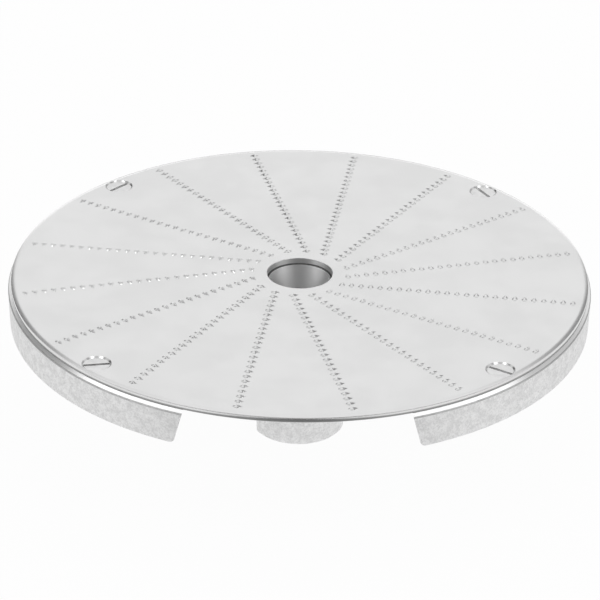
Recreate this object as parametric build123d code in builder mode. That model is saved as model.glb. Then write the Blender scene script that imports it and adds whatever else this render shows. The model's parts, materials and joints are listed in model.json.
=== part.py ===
"""Grating disc of a vegetable cutter: a toothed steel plate screwed to a cast carrier.

Millimetres, +Z up. The origin is the centre of the hub's lower end, on the axis, so the disc
stands level on its hub with the grating plate on top. The open front of the rim faces -Y.
"""

import os
from math import radians, sqrt, tan

from build123d import *

# Grating plate
plate_d = 203.0
plate_t = 2.0
plate_edge_r = 1.7  # the upper outer edge is rounded, as two flats
plate_hole_gap = 0.5  # the centre hole stands this far outside the bore

# Rasp teeth: straight rows, each passing the axis at a small distance
row_count = 16
row_start_angle = 14.4  # direction of the first row, from +X
row_offset = 6.4  # distance of each row's line from the axis
row_hole_margin = 5.6  # plate left bare between the hole and the first tooth
row_edge_margin = 4.3  # plate left bare between the last tooth and the edge
tooth_pitch = 3.37
gouge_len = 1.8
gouge_w = 2.0
gouge_depth = 0.8
burr_len = 1.4
burr_h = 0.6
burr_root = 0.3  # depth to which a burr is one with the plate

# Cast carrier: hub
hub_h = 58.7  # from the hub's lower end to the seat of the plate
bore_d = 22.0
bore_break = 0.5  # chamfer at both ends of the bore
hub_wall = 5.5  # at the lower end
hub_draft = 1.5  # degrees, wider towards the plate
hub_end_break = 0.8
hub_collar_w = 3.5  # widening of the hub under the plate
hub_collar_h = 4.0
drive_slot_w = 10.5  # slot across the lower end, for the cross pin of the machine's shaft
drive_slot_h = 10.0
drive_slot_turn = 9.0  # degrees from +X

# Cast carrier: rim and arms
rim_bevel_w = 1.0  # bright turned bevel above the skirt
rim_bevel_h = 1.5
rim_flange_w = 13.0
rim_flange_t = 4.0
skirt_h = 12.9
skirt_wall = 3.8  # at the lower edge
skirt_draft = 1.9  # degrees, narrower downwards
skirt_inner_w = 1.5  # slope in the corner between skirt and flange
gap_w = 75.3  # opening in the rim, front and back, at the plate
gap_slant = 14.1  # degrees, the opening widens downwards
gap_corner_r = 2.0
arm_w = 13.0
arm_rise = 1.0  # the arm's outer end stays this far above the skirt's lower edge
arm_root_drop = 4.0  # the arms reach this much deeper on the axis than at the rim
arm_root_r = 5.0  # fillet in plan between two arms and the hub

# Countersunk slotted screws
screw_count = 4
screw_first_angle = 45.0
screw_inset = 6.1  # from the plate's edge to the screw's axis
screw_d = 5.0
screw_len = 12.0
screw_head_d = 9.2
screw_ring_w = 0.3  # ring of the countersink that stays visible around the head
screw_slot_w = 1.2
screw_slot_depth = 1.1
screw_slot_turns = (-60.0, 48.0, 10.0, -33.0)  # as the screws were left, from the back right round

# Derived sizes
cut_margin = 1.0  # how far a cutting shape runs past the metal
plate_r = plate_d / 2
plate_edge_cut = plate_edge_r * (1 - sqrt(0.5))  # where the edge's two flats meet, from both sides
plate_z = hub_h
top_z = plate_z + plate_t
bore_r = bore_d / 2
plate_hole_r = bore_r + plate_hole_gap
hub_r = bore_r + hub_wall
collar_z = plate_z - hub_collar_h
hub_top_r = hub_r + collar_z * tan(radians(hub_draft))
collar_r = hub_top_r + hub_collar_w
rim_r = plate_r + rim_bevel_w
skirt_z = plate_z - skirt_h
skirt_foot_r = rim_r - (skirt_h - rim_bevel_h) * tan(radians(skirt_draft))
skirt_inside_r = skirt_foot_r - skirt_wall
flange_z = plate_z - rim_flange_t
flange_inside_r = plate_r - rim_flange_w
gap_foot_w = gap_w + 2 * skirt_h * tan(radians(gap_slant))
arm_tip_r = skirt_inside_r + skirt_wall / 2
arm_tip_z = skirt_z + arm_rise
arm_root_z = arm_tip_z - arm_root_drop
slot_shoulder_z = drive_slot_h - drive_slot_w / 2
screw_r = plate_r - screw_inset
shank_r = screw_d / 2
head_r = screw_head_d / 2
head_z = top_z - screw_ring_w
screw_end_z = head_z - screw_len
countersink_r = head_r + screw_ring_w
countersink_z = top_z - (countersink_r - shank_r)
row_first = sqrt((plate_hole_r + row_hole_margin) ** 2 - row_offset**2)
row_last = sqrt((plate_r - row_edge_margin) ** 2 - row_offset**2)
teeth_per_row = int((row_last - row_first) / tooth_pitch) + 1
tooth_spots = [(row_first + i * tooth_pitch, -row_offset, top_z) for i in range(teeth_per_row)]
gouge_spread = 1 + cut_margin / gouge_depth  # growth of the gouge where it runs on above the plate
burr_spread = 1 + burr_root / burr_h  # growth of the burr where it runs on into the plate

# Seat of one screw head, a right-angled cone that runs on above the plate
with BuildPart() as screw_seat:
    with Locations((screw_r, 0, countersink_z)):
        Cone(
            shank_r,
            countersink_r + cut_margin,
            top_z - countersink_z + cut_margin,
            align=(Align.CENTER, Align.CENTER, Align.MIN),
        )

# The four arms and the hub's collar, before the rim and the hub join them
with BuildPart() as arms:
    with BuildSketch(Plane.XY.offset(arm_root_z)) as arms_plan:
        with PolarLocations(0, screw_count, screw_first_angle):
            Rectangle(rim_r, arm_w, align=(Align.MIN, Align.CENTER))
        Circle(collar_r)
        Circle(arm_tip_r, mode=Mode.INTERSECT)
        collar_corners = arms_plan.vertices().group_by(SortBy.DISTANCE)[0]
        fillet(collar_corners, arm_root_r)
    extrude(amount=plate_z - arm_root_z)
    with BuildSketch(Plane.XZ):
        with BuildLine():
            Polyline((0, arm_root_z), (arm_tip_r, arm_tip_z), (arm_tip_r, arm_root_z), close=True)
        make_face()
    revolve(axis=Axis.Z, mode=Mode.SUBTRACT)

# Carrier: rim in two arcs, four arms and the hub, all one casting
with BuildPart() as disc_carrier:
    with BuildSketch(Plane.XZ):
        with BuildLine():
            Polyline(
                (flange_inside_r, plate_z),
                (plate_r, plate_z),
                (rim_r, plate_z - rim_bevel_h),
                (skirt_foot_r, skirt_z),
                (skirt_inside_r, skirt_z),
                (skirt_inside_r, flange_z - skirt_inner_w),
                (skirt_inside_r - skirt_inner_w, flange_z),
                (flange_inside_r, flange_z),
                close=True,
            )
        make_face()
    revolve(axis=Axis.Z)

    with BuildSketch(Plane.XZ):
        with BuildLine():
            Polyline(
                (-gap_w / 2, plate_z),
                (gap_w / 2, plate_z),
                (gap_foot_w / 2, skirt_z),
                (-gap_foot_w / 2, skirt_z),
                close=True,
            )
        make_face()
    extrude(amount=rim_r + cut_margin, both=True, mode=Mode.SUBTRACT)
    fillet(disc_carrier.edges().filter_by(GeomType.LINE).group_by(Axis.Z)[0], gap_corner_r)

    add(arms.part)

    with BuildSketch(Plane.XZ):
        with BuildLine():
            Polyline(
                (0, 0),
                (hub_r - hub_end_break, 0),
                (hub_r, hub_end_break),
                (hub_top_r, collar_z - hub_collar_w),
                (collar_r, collar_z),
                (collar_r, plate_z),
                (0, plate_z),
                close=True,
            )
        make_face()
    revolve(axis=Axis.Z)

    with BuildSketch(Plane.XZ):
        with BuildLine():
            Polyline(
                (0, 0),
                (bore_r + bore_break, 0),
                (bore_r, bore_break),
                (bore_r, plate_z - bore_break),
                (bore_r + bore_break, plate_z),
                (0, plate_z),
                close=True,
            )
        make_face()
    revolve(axis=Axis.Z, mode=Mode.SUBTRACT)

    with BuildSketch(Plane.YZ.rotated((0, 0, drive_slot_turn))):
        with BuildLine():
            Polyline(
                (-drive_slot_w / 2, slot_shoulder_z),
                (-drive_slot_w / 2, -cut_margin),
                (drive_slot_w / 2, -cut_margin),
                (drive_slot_w / 2, slot_shoulder_z),
            )
            ThreePointArc(
                (drive_slot_w / 2, slot_shoulder_z),
                (0, drive_slot_h),
                (-drive_slot_w / 2, slot_shoulder_z),
            )
        make_face()
    extrude(amount=collar_r, both=True, mode=Mode.SUBTRACT)

    with PolarLocations(screw_r, screw_count, screw_first_angle):
        Hole(shank_r)
    with PolarLocations(0, screw_count, screw_first_angle):
        add(screw_seat.part, mode=Mode.SUBTRACT)
disc_carrier.part.label = "disc_carrier"

# Gouge of one tooth: a pointed cut with two slanting facets that deepens towards the burr, along -Y
with BuildPart() as gouge:
    with Locations((0, 0, -gouge_depth)):
        Box(
            gouge_w * gouge_spread,
            gouge_len * gouge_spread,
            gouge_depth + cut_margin,
            align=(Align.CENTER, Align.MIN, Align.MIN),
        )
    for half_w in (gouge_w / 2, -gouge_w / 2):
        facet_normal = (1 / half_w, 1 / gouge_len, -1 / gouge_depth)
        split(bisect_by=Plane((0, gouge_len, 0), z_dir=facet_normal), keep=Keep.BOTTOM)

# Burr of one tooth: the metal thrown up at the deep end, upright in front and falling to a point behind
with BuildPart() as burr:
    with Locations((0, 0, -burr_root)):
        Box(
            gouge_w * burr_spread,
            burr_len * burr_spread,
            burr_root + burr_h,
            align=(Align.CENTER, Align.MAX, Align.MIN),
        )
    for half_w in (gouge_w / 2, -gouge_w / 2):
        facet_normal = (1 / half_w, -1 / burr_len, 1 / burr_h)
        split(bisect_by=Plane((0, -burr_len, 0), z_dir=facet_normal), keep=Keep.BOTTOM)

# Grating plate: flat steel disc with a rounded edge and its rows of teeth
with BuildPart() as grating_plate:
    with BuildSketch(Plane.XZ):
        with BuildLine():
            Polyline(
                (plate_hole_r, plate_z),
                (plate_r, plate_z),
                (plate_r, top_z - plate_edge_r),
                (plate_r - plate_edge_cut, top_z - plate_edge_cut),
                (plate_r - plate_edge_r, top_z),
                (plate_hole_r, top_z),
                close=True,
            )
        make_face()
    revolve(axis=Axis.Z)
    with PolarLocations(0, screw_count, screw_first_angle):
        add(screw_seat.part, mode=Mode.SUBTRACT)
    with PolarLocations(0, row_count, row_start_angle):
        with Locations(*tooth_spots):
            add(gouge.part, mode=Mode.SUBTRACT)
            add(burr.part)
grating_plate.part.label = "grating_plate"

# One screw before its slot is cut
with BuildPart() as screw_blank:
    with BuildSketch(Plane.XZ):
        with BuildLine():
            Polyline(
                (0, head_z),
                (head_r, head_z),
                (shank_r, countersink_z),
                (shank_r, screw_end_z),
                (0, screw_end_z),
                close=True,
            )
        make_face()
    revolve(axis=Axis.Z)

# The four screws, each with its slot as it was left
with BuildPart() as plate_screws:
    with PolarLocations(screw_r, screw_count, screw_first_angle):
        add(screw_blank.part)
    for i in range(screw_count):
        spot = Vector(screw_r, 0, head_z).rotate(Axis.Z, screw_first_angle + i * 360 / screw_count)
        turn = screw_slot_turns[i % len(screw_slot_turns)]
        with Locations(Location(spot, (0, 0, turn))):
            Box(screw_head_d + cut_margin, screw_slot_w, 2 * screw_slot_depth, mode=Mode.SUBTRACT)
plate_screws.part.label = "plate_screws"

os.makedirs("parts", exist_ok=True)
export_step(disc_carrier.part, "parts/disc_carrier.step")
export_step(grating_plate.part, "parts/grating_plate.step")
export_step(plate_screws.part, "parts/plate_screws.step")
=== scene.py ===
# %% [markdown]
# A grating disc for a vegetable cutter, dressed for a studio picture. The disc is a polished steel
# plate with rows of punched rasp teeth, held by four slotted screws on a light-alloy casting. The CAD
# model already fixes every size, so this lesson only adds what the eye needs: finer teeth, softer
# edges and the finish of each metal.

# %% Load the frame
import json
import math
import random

import bmesh
import bpy
from mathutils import Matrix, Vector


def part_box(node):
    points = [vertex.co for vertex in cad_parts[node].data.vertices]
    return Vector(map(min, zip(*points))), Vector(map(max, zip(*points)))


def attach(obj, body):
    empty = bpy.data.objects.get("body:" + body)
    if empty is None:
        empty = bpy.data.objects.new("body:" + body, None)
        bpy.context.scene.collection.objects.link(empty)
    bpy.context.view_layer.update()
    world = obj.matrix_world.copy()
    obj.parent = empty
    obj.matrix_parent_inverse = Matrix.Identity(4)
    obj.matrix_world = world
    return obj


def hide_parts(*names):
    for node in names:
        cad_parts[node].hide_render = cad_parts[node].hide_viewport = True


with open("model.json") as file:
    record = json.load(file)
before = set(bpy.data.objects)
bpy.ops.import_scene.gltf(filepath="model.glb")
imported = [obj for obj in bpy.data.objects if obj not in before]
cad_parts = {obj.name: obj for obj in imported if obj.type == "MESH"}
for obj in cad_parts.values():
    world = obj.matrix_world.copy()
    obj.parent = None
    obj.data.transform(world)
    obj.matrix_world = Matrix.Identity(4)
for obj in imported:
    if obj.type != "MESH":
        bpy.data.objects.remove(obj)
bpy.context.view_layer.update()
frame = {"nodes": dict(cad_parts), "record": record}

# %% [markdown]
# Sizes come from the frame where it holds them. The casting's top is the seat of the plate, the
# record knows the bore, and the plate's own box gives its radius. Only the thickness of the sheet is
# written here, because the plate's box also holds the burrs of the teeth.

# %% Read the main sizes
MM = 0.001
seat_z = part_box("disc_carrier")[1].z
plate_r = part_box("grating_plate")[1].x
bore_r = frame["record"]["mounts"][0]["dims"]["r_mm"] * MM
plate_t = 2.0 * MM
plate_top = seat_z + plate_t
print("plate radius", round(plate_r / MM, 2), "plate top", round(plate_top / MM, 2))

# %% [markdown]
# Shader graphs are easier to read as sums than as boxes and wires. A small class wraps one socket, so
# that an expression such as 1 - mask adds its own Math node, and one method makes every other node.

# %% A socket that can be used in a sum


class Signal:
    """One output of a shader node, usable in Python sums."""

    def __init__(self, tree, socket=None):
        self.tree = tree
        self.socket = socket

    def make(self, kind, settings=None, inlets=None, outlet=0):
        """Adds a node: its settings first, then the values or links of its sockets."""
        node = self.tree.nodes.new(kind)
        for name, value in (settings or {}).items():
            setattr(node, name, value)
        for name, value in (inlets or {}).items():
            if isinstance(value, Signal):
                self.tree.links.new(value.socket, node.inputs[name])
            else:
                node.inputs[name].default_value = value
        return Signal(self.tree, node.outputs[outlet])

    def sum(self, operation, first, second=0.0):
        return self.make("ShaderNodeMath", {"operation": operation}, {0: first, 1: second})

    def __add__(self, other):
        return self.sum("ADD", self, other)

    def __radd__(self, other):
        return self.sum("ADD", other, self)

    def __sub__(self, other):
        return self.sum("SUBTRACT", self, other)

    def __rsub__(self, other):
        return self.sum("SUBTRACT", other, self)

    def __mul__(self, other):
        return self.sum("MULTIPLY", self, other)

    def __rmul__(self, other):
        return self.sum("MULTIPLY", other, self)

    def axes(self, vector):
        """The three parts of a vector."""
        parts = self.make("ShaderNodeSeparateXYZ", None, {0: vector}).socket.node
        return [Signal(self.tree, parts.outputs[i]) for i in range(3)]

    def length(self, x, y):
        """The distance from the disc's axis."""
        return self.sum("SQRT", x * x + y * y)

    def step(self, low, high):
        """Rises softly from 0 at low to 1 at high."""
        return self.make(
            "ShaderNodeMapRange",
            {"interpolation_type": "SMOOTHSTEP"},
            {"Value": self, "From Min": low, "From Max": high},
        )

    def blend(self, first, second):
        """A grey that runs from first to second as this signal runs from 0 to 1."""
        first_colour, second_colour, colour_out = 6, 7, 2  # the colour sockets of a Mix node
        return self.make(
            "ShaderNodeMix",
            {"data_type": "RGBA"},
            {"Factor": self, first_colour: grey(first), second_colour: grey(second)},
            outlet=colour_out,
        )


def grey(value):
    return value, value, value, 1.0


def link(signal, shader, socket):
    signal.tree.links.new(signal.socket, shader.inputs[socket])


print("sums of sockets ready")

# %% [markdown]
# All the metals start from one shader. Where a lathe tool has passed, fine grooves run round the axis
# and spread the light along it. Thousands of grooves could be modelled or bumped, but anisotropy gives
# their light without any: the shader's own tangent runs round Z, and a quarter turn lays the spread
# along the axis. A mask lays such a turned zone over the rest of a metal.

# %% Metals and turned zones
groove_spread = 0.97
groove_turn = 0.25


def new_metal(name):
    """A metallic Principled material, its shader and a place to start its graph from."""
    material = bpy.data.materials.new(name)
    material.use_nodes = True
    shader = material.node_tree.nodes["Principled BSDF"]
    shader.inputs["Metallic"].default_value = 1.0
    return material, shader, Signal(material.node_tree)


def add_turned(mask, below, brightness, roughness):
    """Lays a lathe-turned zone over a shader."""
    constants = {
        "Base Color": grey(brightness),
        "Metallic": 1.0,
        "Roughness": roughness,
        "Anisotropic": groove_spread,
        "Anisotropic Rotation": groove_turn,
    }
    turned = mask.make("ShaderNodeBsdfPrincipled", None, constants)
    return mask.make("ShaderNodeMixShader", None, {0: mask, 1: below, 2: turned})


def add_noise(start, place, scale, detail):
    inlets = {"Vector": place, "Scale": scale, "Detail": detail}
    return start.make("ShaderNodeTexNoise", None, inlets)


def show(surface):
    """Makes a shader the surface of its material."""
    output = surface.tree.nodes["Material Output"]
    surface.tree.links.new(surface.socket, output.inputs["Surface"])


print("metal helpers ready")

# %% [markdown]
# The carrier is a casting that was only cleaned, so its skin is matte and mottled: fine grains over
# broader clouds. A picture of a casting could give that too, but noise needs no file and has no seam.
# Both noises together make the mottle of the colour and the relief of the bump. The bore and the upper
# part of the rim's bevel were turned bright. The top 1.5 mm of the casting is painted darker, which shows
# as a dark band below that bright part: painted shade. The broken edge at the bore's top is painted dark
# as painted shade, the shadow in the gap under the plate.

# %% Cast alloy
skin_dark = 0.71
skin_mottle = 0.22
skin_roughness = 0.42
bump_strength = 0.6
bump_height = 0.2 * MM
bore_skin = 0.01 * MM
bore_break = 0.5 * MM
# Painted shade: how dark the shadow in the joint under the plate is painted.
joint_shade_dark = 0.8
bevel_h = 1.5 * MM
# Painted shade: how dark the band on the casting's top 1.5 mm is painted.
band_shade_dark = 0.5
bright_h = 1.0 * MM
bright_in = 0.1 * MM


def make_cast_alloy():
    material, shader, start = new_metal("cast_skin")
    place = start.make("ShaderNodeTexCoord", outlet="Object")
    x, y, z = start.axes(place)
    radius = start.length(x, y)
    clouds = add_noise(start, place, scale=420.0, detail=3.0)
    grain = add_noise(start, place, scale=1500.0, detail=4.0)
    mottle = (clouds * 0.5 + grain * 0.5).step(0.34, 0.66)
    # Painted shade: the break at the bore's top is darkened as the shadow in the gap under the plate.
    on_break = z.step(seat_z - 1.2 * bore_break, seat_z - bore_break)
    on_break = on_break * radius.step(bore_r, bore_r + 0.1 * bore_break)
    joint_shade = on_break * (1 - radius.step(bore_r + bore_break, bore_r + 1.2 * bore_break))
    # Painted shade: the top 1.5 mm of the casting is darkened, a dark band below the bright bevel.
    painted_band_shade = z.step(seat_z - 1.2 * bevel_h, seat_z - bevel_h) * (0.5 + 0.5 * mottle)
    colour = (skin_dark + skin_mottle * mottle) * (1 - joint_shade_dark * joint_shade) * (1 - band_shade_dark * painted_band_shade)
    link(colour, shader, "Base Color")
    link(skin_roughness + clouds * 0.25, shader, "Roughness")
    relief = {"Strength": bump_strength, "Distance": bump_height, "Height": clouds * 0.6 + grain}
    link(start.make("ShaderNodeBump", None, relief), shader, "Normal")
    bore = 1 - radius.step(bore_r + bore_skin, bore_r + 4 * bore_skin)
    on_edge = radius.step(plate_r - 4 * bright_in, plate_r - bright_in)
    bevel = on_edge * z.step(seat_z - 1.1 * bright_h, seat_z - bright_h)
    surface = Signal(start.tree, shader.outputs[0])
    surface = add_turned(bore, surface, brightness=0.95, roughness=0.48)
    show(add_turned(bevel, surface, brightness=0.9, roughness=0.3))
    return material


cast_alloy = make_cast_alloy()
print("made", cast_alloy.name)

# %% [markdown]
# The plate is rolled stainless sheet, polished to an even satin. It shows the studio softly, so its
# roughness matters more than its colour. The lower part of its rim is painted darker and duller, as
# painted shade for the shadow line along the plate's edge. The wall of the centre hole is turned.

# %% Plate steel
sheet_grey = 0.74
sheet_mottle = 0.04
sheet_roughness = 0.2
# Painted shade: the lowest part of the plate's rim is darkened and roughened as the shadow line at its
# edge.
edge_shade_from = 1.1 * MM
edge_shade_dark = 0.45
edge_shade_roughness = 0.3
hole_gap = 0.5 * MM


def make_plate_steel():
    material, shader, start = new_metal("satin_sheet")
    place = start.make("ShaderNodeTexCoord", outlet="Object")
    clouds = add_noise(start, place, scale=60.0, detail=4.0)
    x, y, z = start.axes(place)
    radius = start.length(x, y)
    # Painted shade: the rim's lowest 0.7 mm is darkened as the shadow line along the plate's edge.
    low = 1 - z.step(plate_top - edge_shade_from - 0.2 * MM, plate_top - edge_shade_from)
    edge_shade = low * radius.step(plate_r - 0.4 * MM, plate_r - 0.3 * MM)
    colour = (sheet_grey + sheet_mottle * clouds.step(0.3, 0.7)) * (1 - edge_shade_dark * edge_shade)
    link(colour, shader, "Base Color")
    link(sheet_roughness + clouds * 0.06 + edge_shade_roughness * edge_shade, shader, "Roughness")
    hole_wall = 1 - radius.step(bore_r + hole_gap + 0.02 * MM, bore_r + hole_gap + 0.1 * MM)
    show(add_turned(hole_wall, Signal(start.tree, shader.outputs[0]), brightness=0.7, roughness=0.5))
    return material


plate_steel = make_plate_steel()
print("made", plate_steel.name)

# %% [markdown]
# The four screws are turned steel, about as bright as the plate. A faint cloud in colour and roughness
# is enough at their size.

# %% Screw steel


def make_screw_steel():
    material, shader, start = new_metal("turned_screw")
    place = start.make("ShaderNodeTexCoord", outlet="Object")
    clouds = add_noise(start, place, scale=400.0, detail=3.0)
    link(clouds.step(0.3, 0.7).blend(0.70, 0.80), shader, "Base Color")
    link(0.25 + clouds * 0.15, shader, "Roughness")
    return material


screw_steel = make_screw_steel()
print("made", screw_steel.name)

# %% [markdown]
# The casting's CAD mesh already has the true form, with its hub, arms, skirt and gaps. It could be
# modelled again with softer edges, but at this distance the metal makes the difference, so the mesh
# stays and only gets its skin.

# %% Dress the casting
casting = frame["nodes"]["disc_carrier"]
casting.data.materials.clear()
casting.data.materials.append(cast_alloy)
print("dressed", casting.name)

# %% [markdown]
# All new pieces are modelled in millimetres, because the filling of flat faces is more exact at that
# scale, and turned into metres at the end. One helper does that, shades the piece and puts it on the
# frame. The others turn a profile, round a corner of it and cut one shape out of another.

# %% Turn a bmesh into a piece of the disc
sharp_angle = math.radians(32)
weld = 0.001


def add_piece(bm, name, material, node):
    """Makes a piece from a bmesh in millimetres, which stands for a CAD node on the frame."""
    bmesh.ops.scale(bm, vec=(MM, MM, MM), verts=bm.verts)
    smooth = [face.smooth for face in bm.faces]
    mesh = bpy.data.meshes.new(name)
    bm.to_mesh(mesh)
    bm.free()
    mesh.materials.append(material)
    mesh.set_sharp_from_angle(angle=sharp_angle)
    mesh.polygons.foreach_set("use_smooth", smooth)  # the line above made every face smooth
    piece = bpy.data.objects.new(name, mesh)
    bpy.context.scene.collection.objects.link(piece)
    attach(piece, "root")
    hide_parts(node)
    print(name, len(mesh.polygons), "faces")


def turn_profile(bm, profile, steps, center=(0.0, 0.0), closed=False):
    """Turns (radius, height) points once round an upright axis, as a lathe does."""
    verts = [bm.verts.new((center[0] + r, center[1], z)) for r, z in profile]
    pairs = list(zip(verts, verts[1:]))
    if closed:
        pairs.append((verts[-1], verts[0]))
    edges = [bm.edges.new(pair) for pair in pairs]
    bmesh.ops.spin(
        bm,
        geom=verts + edges,
        cent=(*center, 0.0),
        axis=(0.0, 0.0, 1.0),
        angle=math.tau,
        steps=steps,
        use_merge=True,
    )
    bmesh.ops.remove_doubles(bm, verts=bm.verts, dist=weld)
    bmesh.ops.recalc_face_normals(bm, faces=bm.faces)


def round_corner(radius, height, size, start, end, steps=3):
    """Points of an arc of the given size about (radius, height), from one angle to another in degrees."""
    angles = [math.radians(start + (end - start) * i / steps) for i in range(steps + 1)]
    return [(radius + size * math.cos(a), height + size * math.sin(a)) for a in angles]


def cut_away(bm, cutter):
    """Takes the cutter's volume out of the body with an exact Boolean."""
    objects = []
    for shape in (bm, cutter):
        mesh = bpy.data.meshes.new("cutting")
        shape.to_mesh(mesh)
        objects.append(bpy.data.objects.new("cutting", mesh))
        bpy.context.scene.collection.objects.link(objects[-1])
    cutting = objects[0].modifiers.new("cut", "BOOLEAN")
    cutting.operation = "DIFFERENCE"
    cutting.solver = "EXACT"
    cutting.object = objects[1]
    graph = bpy.context.evaluated_depsgraph_get()
    result = bpy.data.meshes.new_from_object(objects[0].evaluated_get(graph))
    bm.clear()
    bm.from_mesh(result)
    for used in objects:
        bpy.data.objects.remove(used)
    cutter.free()


print("mesh helpers ready")

# %% [markdown]
# The plate's blank is a flat ring. Its section is drawn once and turned round the axis: the upper outer
# edge falls away in a few short flats, as polishing leaves it, and the other corners are small arcs.
# The four countersunk seats are cut out as cones, a little wider than the screw heads, so that a dark
# ring shows round each head.

# %% Plate blank
top = plate_top / MM
seat = seat_z / MM
edge_w = 1.7
edge_steps = [(1.7, 0.68), (1.6, 0.4), (1.32, 0.2), (0.0, 0.0)]  # outwards and down, from the edge in
lower_edge_r = 0.3
hole_r = (bore_r + hole_gap) / MM
hole_edge_r = 0.25
rim_steps = 240
screw_r = plate_r / MM - 6.1
screw_angles = [math.radians(45.0 + 90.0 * i) for i in range(4)]
screw_spots = [(screw_r * math.cos(a), screw_r * math.sin(a)) for a in screw_angles]
seat_r = 5.05
seat_steps = 64
cut_past = 1.0


def make_blank():
    bm = bmesh.new()
    outer = plate_r / MM
    section = [(hole_r, seat)]
    section += round_corner(outer - lower_edge_r, seat + lower_edge_r, lower_edge_r, -90, 0)
    section += [(outer - edge_w + run, top - drop) for run, drop in edge_steps]
    section += round_corner(hole_r + hole_edge_r, top - hole_edge_r, hole_edge_r, 90, 180)
    turn_profile(bm, section, rim_steps, closed=True)
    cones = bmesh.new()
    for spot in screw_spots:
        profile = [(0.0, top - seat_r), (seat_r + cut_past, top + cut_past), (0.0, top + cut_past)]
        turn_profile(cones, profile, seat_steps, center=spot)
    cut_away(bm, cones)
    return bm


blank = make_blank()
print("blank", len(blank.faces), "faces")

# %% [markdown]
# Each tooth is punched: the tool digs a pointed gouge and throws the metal up behind it as a small
# rounded burr. A grid of 4 by 8 faces is enough for one tooth when its rows are placed by a formula:
# the burr is half an ellipse in plan and round across, its brow leads down to the gouge, and the gouge
# is a ramp between straight sides. A punch never strikes twice alike, so each tooth differs a little.

# %% Shape of a tooth
tooth_w = 2.0
burr_len = 1.4
burr_h = 0.52
burr_inner = 0.55  # how far out the inner columns of the grid stand, as a share of the half width
brow_place = 0.22
brow_share = 0.7
brow_inner = 0.6
gouge_foot = 0.85
gouge_len = 1.9
gouge_depth = 0.4
gouge_share = 0.7
gouge_inner = 0.75
tip_w = 0.04


def burr_row(back):
    """A row at a share of the burr's length behind its crest: place, half width, height, inner share."""
    fullness = 1 - back**2
    return -back * burr_len, tooth_w / 2 * math.sqrt(fullness), burr_h * fullness, burr_inner


def gouge_row(along):
    """A row of the gouge at a share of its length, from the burr's foot to the tip."""
    left = 1 - along
    half_w = max(gouge_share * tooth_w / 2 * left, tip_w)
    return gouge_foot + along * (gouge_len - gouge_foot), half_w, -gouge_depth * left, gouge_inner


tooth_rows = [burr_row(back) for back in (0.97, 0.8, 0.5, 0.2, 0.0)]
tooth_rows += [(brow_place, tooth_w / 2, brow_share * burr_h, brow_inner)]
tooth_rows += [gouge_row(along) for along in (0.0, 0.5, 1.0)]
print("tooth rows", [tuple(round(v, 2) for v in row) for row in tooth_rows])

# %% [markdown]
# The teeth stand in 16 straight rows. A row doesn't point at the axis but passes it at a small
# distance, so that the teeth of one row follow each other across the food. Each tooth is one grid, bent
# into shape and then turned to its place, with a seeded dice for its differences.

# %% Rows of teeth
row_count = 16
row_start = math.radians(14.4)
row_offset = 6.4
row_first = math.sqrt((hole_r + 5.6) ** 2 - row_offset**2)
tooth_pitch = 3.37
teeth_per_row = 25
dice_seed = 7
columns = 4
last_row = len(tooth_rows) - 1


def add_tooth(bm, dice, along_row, angle):
    """Bends one grid into a tooth and puts it on its row."""
    grid = bmesh.ops.create_grid(bm, x_segments=columns, y_segments=last_row, size=1.0)
    size = dice.uniform(0.94, 1.05)
    rise = dice.uniform(0.94, 1.06)
    shift = Vector((dice.uniform(-0.05, 0.05), dice.uniform(-0.08, 0.08), 0.0))
    for vert in grid["verts"]:
        column = round((vert.co.x + 1) / 2 * columns)
        row = round((vert.co.y + 1) / 2 * last_row)
        place, half_w, height, inner = tooth_rows[row]
        share = (-1, -inner, 0, inner, 1)[column]
        on_edge = column in (0, columns) or row in (0, last_row)
        roundness = 1 - share**2 if height > 0 else 1
        lift = 0.0 if on_edge else height * rise * roundness
        vert.co = Vector((share * half_w * size, place * size, lift)) + shift
    place = Matrix.Rotation(angle, 4, "Z") @ Matrix.Translation((along_row, -row_offset, top))
    bmesh.ops.transform(bm, matrix=place, verts=grid["verts"])


def add_teeth(bm):
    dice = random.Random(dice_seed)
    for row in range(row_count):
        for tooth in range(teeth_per_row):
            add_tooth(bm, dice, row_first + tooth * tooth_pitch, row_start + row * math.tau / row_count)


print("teeth to punch", row_count * teeth_per_row)

# %% [markdown]
# A Boolean for each of four hundred teeth would be slow. Instead the flat top of the blank is taken
# off, the teeth are laid in its plane as loose grids, and the sheet between them is filled in again.
# That fill is shaded flat, because smooth normals would bend at every tooth and streak over the sheet.

# %% Grating plate


def make_plate(bm):
    flat = [f for f in bm.faces if f.normal.z > 0.999 and f.calc_center_median().z > top - weld]
    bmesh.ops.delete(bm, geom=flat, context="FACES_ONLY")
    add_teeth(bm)
    open_edges = [e for e in bm.edges if e.is_boundary]
    bmesh.ops.triangle_fill(bm, edges=open_edges, use_beauty=True, normal=(0.0, 0.0, 1.0))
    for face in bm.faces:
        face.smooth = any(abs(v.co.z - top) > weld for v in face.verts)
    loose = [e for e in bm.edges if not e.link_faces]
    bmesh.ops.delete(bm, geom=loose, context="EDGES")
    print("open edges left", len([e for e in bm.edges if not e.is_manifold]))
    add_piece(bm, "grating_plate_toothed", plate_steel, "grating_plate")


make_plate(blank)

# %% [markdown]
# A slotted countersunk screw: the head is a cone with a flat top and a broken rim, turned in one
# profile with its shank, and the slot is sawn across it. Each screw was left at its own angle. The
# thread is out of sight in the casting, so the shank stays plain.

# %% Plate screws
head_r = 4.55
head_top = top - 0.45
head_rim_w = 0.12
head_rim_h = 0.3
shank_r = 2.5
screw_end = top - 12.3
end_break = 0.5
screw_steps = 48
slot_w = 1.2
slot_depth = 1.1
slot_turns = [math.radians(turn) for turn in (-60.0, 48.0, 10.0, -33.0)]


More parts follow.
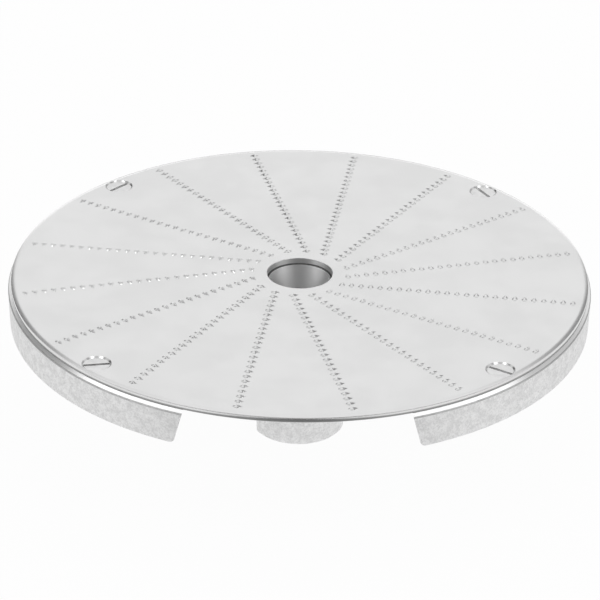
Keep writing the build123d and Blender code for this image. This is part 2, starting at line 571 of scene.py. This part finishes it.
def make_screws():
    bm = bmesh.new()
    saw = bmesh.new()
    cone_top = head_top - head_rim_h
    profile = [(0.0, head_top), (head_r - head_rim_w, head_top), (head_r, cone_top)]
    profile += [(shank_r, cone_top - (head_r - shank_r)), (shank_r, screw_end + end_break)]
    profile += [(shank_r - end_break, screw_end), (0.0, screw_end)]
    size = Matrix.Diagonal((2 * (head_r + cut_past), slot_w, 2 * slot_depth, 1))
    for spot, turn in zip(screw_spots, slot_turns):
        turn_profile(bm, profile, screw_steps, center=spot)
        place = Matrix.Translation((*spot, head_top)) @ Matrix.Rotation(turn, 4, "Z")
        bmesh.ops.create_cube(saw, size=1.0, matrix=place @ size)
    cut_away(bm, saw)
    for face in bm.faces:
        face.smooth = True
    add_piece(bm, "plate_screws_slotted", screw_steel, "plate_screws")


make_screws()

# %% [markdown]
# The studio floor is white and keeps a soft shadow. It glows a little short of fully, and only for the
# camera and for mirror rays, so it looks white in the picture and in the metal but throws no extra light
# on the disc. Below the bore it stays dark. A dark card in front of the disc is seen by the metal alone
# and draws the dark line along the front edge.

# %% Floor
floor_size = 4.0
floor_grey = 0.9
floor_glow = 0.96
bore_shade_w = 2 * MM
card_depth = (-0.17, -0.12)
card_half_w = (0.04, 0.13)
card_dark = 0.85


def make_floor_white():
    material = bpy.data.materials.new("studio_floor")
    material.use_nodes = True
    tree = material.node_tree
    tree.nodes.remove(tree.nodes["Principled BSDF"])
    start = Signal(tree)
    camera_ray = start.make("ShaderNodeLightPath", outlet="Is Camera Ray")
    glossy_ray = start.make("ShaderNodeLightPath", outlet="Is Glossy Ray")
    seen = start.sum("MAXIMUM", camera_ray, glossy_ray)
    x, y = start.axes(start.make("ShaderNodeTexCoord", outlet="Object"))[:2]
    outside_bore = start.length(x, y).step(bore_r, bore_r + bore_shade_w)
    matte = start.make("ShaderNodeBsdfDiffuse", None, {"Color": grey(floor_grey)})
    before_disc = 1 - y.step(*card_depth)
    card = before_disc * (1 - start.sum("ABSOLUTE", x).step(*card_half_w))
    glow = start.make("ShaderNodeEmission", None, {"Strength": 1.0 - card_dark * card * glossy_ray})
    shares = {0: seen * floor_glow * outside_bore, 1: matte, 2: glow}
    show(start.make("ShaderNodeMixShader", None, shares))
    return material


def make_floor():
    bm = bmesh.new()
    bmesh.ops.create_grid(bm, x_segments=1, y_segments=1, size=floor_size)
    mesh = bpy.data.meshes.new("studio_floor")
    bm.to_mesh(mesh)
    bm.free()
    floor = bpy.data.objects.new("studio_floor", mesh)
    floor.data.materials.append(make_floor_white())
    bpy.context.scene.collection.objects.link(floor)


make_floor()
print("floor laid")

# %% [markdown]
# Metal is lit by what it mirrors, so the studio is a pale surround with soft panels in it. Lamps would
# only show as hard spots. Each panel lies between two turns away from the back of the studio, the same
# to both sides, and between two heights, all in degrees. The plate mirrors the back panel, the bore and
# the bevel mirror the sides, and the teeth pick up the small steep ones.

# %% Surround
base_light = 0.3
panels = [  # turn from and to, rise from and to, softness, strength
    (-20, 21, -20, 44, 3.0, 0.67),  # back
    (-20, 110, 44, 120, 6.0, 0.67),  # overhead
    (-20, 42, -20, 8, 3.0, 0.4),  # horizon behind the disc
    (150, 200, 60, 120, 6.0, 0.6),  # front, high up
    (87, 134, 12, 38, 6.0, 1.7),  # sides
    (119, 150, 44, 61, 6.0, 2.6),  # steep sides, for the teeth that face the front
    (48, 80, 26, 43, 6.0, 0.6),  # shoulders
    (76, 110, 42, 62, 6.0, -0.55),  # shade above the sides
]
low_side = (34, 82, -10, 26, 6.0)
low_right = 0.35
low_shade = 0.2
left_to_right = (-0.2, 0.2)


def add_panel(turn, rise, turn_low, turn_high, rise_low, rise_high, soft):
    """A soft-edged field between two turns and two heights."""
    field = None
    for signal, low, high in ((turn, turn_low, turn_high), (rise, rise_low, rise_high)):
        start = signal.step(math.radians(low - soft), math.radians(low + soft))
        end = signal.step(math.radians(high - soft), math.radians(high + soft))
        band = start * (1 - end)
        field = band if field is None else field * band
    return field


def make_surround():
    world = bpy.data.worlds.new("studio_surround")
    world.use_nodes = True
    bpy.context.scene.world = world
    start = Signal(world.node_tree)
    x, y, z = start.axes(start.make("ShaderNodeTexCoord", outlet="Generated"))
    turn = start.sum("ABSOLUTE", start.sum("ARCTAN2", x, y))
    rise = start.sum("ARCSINE", z)
    strength = base_light
    for *limits, gain in panels:
        strength = strength + gain * add_panel(turn, rise, *limits)
    on_right = x.step(*left_to_right)
    strength = strength + add_panel(turn, rise, *low_side) * (low_right * on_right - low_shade)
    camera_ray = start.make("ShaderNodeLightPath", outlet="Is Camera Ray")
    background = world.node_tree.nodes["Background"]
    background.inputs["Color"].default_value = grey(1.0)
    link(camera_ray + (1 - camera_ray) * strength, background, "Strength")


make_surround()
print("surround lit with", len(panels) + 1, "panels")

# %% [markdown]
# The picture is taken from a metre away with a long lens, which keeps the disc's ellipse nearly
# regular, and from high enough to see a little way into the bore. The camera was fitted to the outline
# of the plate, the hole and the screws, which is why its numbers aren't round.

# %% Camera
camera_place = Vector((0.0, -1.01915, 0.59217))
camera_target = Vector((0.0002, 0.0, 0.0499))
camera_roll = math.radians(0.848)
camera_data = bpy.data.cameras.new("studio_camera")
camera_data.lens = 195.75
camera_data.sensor_width = 36.0
camera_data.clip_end = 20.0
camera = bpy.data.objects.new("studio_camera", camera_data)
aim = (camera_target - camera_place).to_track_quat("-Z", "Y").to_matrix().to_4x4()
camera.matrix_world = Matrix.Translation(camera_place) @ aim @ Matrix.Rotation(camera_roll, 4, "Z")
bpy.context.scene.collection.objects.link(camera)
bpy.context.scene.camera = camera
bpy.context.scene.view_settings.view_transform = "Standard"
print("camera at", [round(v, 3) for v in camera_place])
